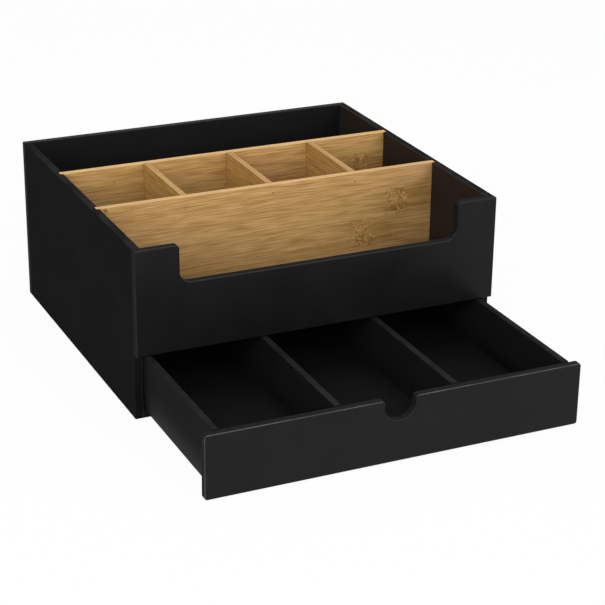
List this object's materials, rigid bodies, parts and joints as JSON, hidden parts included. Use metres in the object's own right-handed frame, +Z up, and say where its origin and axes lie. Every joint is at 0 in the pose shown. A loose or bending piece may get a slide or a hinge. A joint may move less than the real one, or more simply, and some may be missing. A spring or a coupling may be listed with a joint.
{
  "type": "tea bag drawer box",
  "caption": "Open-topped tea bag box in black board, with bamboo-divided bays over a sliding compartment drawer with a finger notch.",
  "frame": {"origin": "middle of the face that the casing stands on", "axes": "+X to the right as seen from the front, +Y from the front into the depth, +Z up"},
  "size_m": [0.28, 0.382, 0.128],
  "materials": {
    "black_board": "satin black paint on thin board with softened edges",
    "bamboo": "clear matt lacquer on planed bamboo strip, grain along the strip"
  },
  "bodies": {
    "casing": {"left_side": "black_board", "right_side": "black_board", "back_panel": "black_board", "front_panel": "black_board", "storage_floor": "black_board", "base_panel": "black_board", "front_divider": "bamboo", "rear_divider": "bamboo", "cross_divider_1": "bamboo", "cross_divider_2": "bamboo", "cross_divider_3": "bamboo"},
    "drawer": {"drawer_front": "black_board", "drawer_left_side": "black_board", "drawer_right_side": "black_board", "drawer_back": "black_board", "drawer_floor": "black_board", "drawer_divider_1": "black_board", "drawer_divider_2": "black_board"}
  },
  "joints": [
    {"name": "drawer_slide", "type": "slide", "parent": "casing", "child": "drawer", "axis": [0, -1, 0], "range_m": [-0.1238, 0.056]}
  ]
}
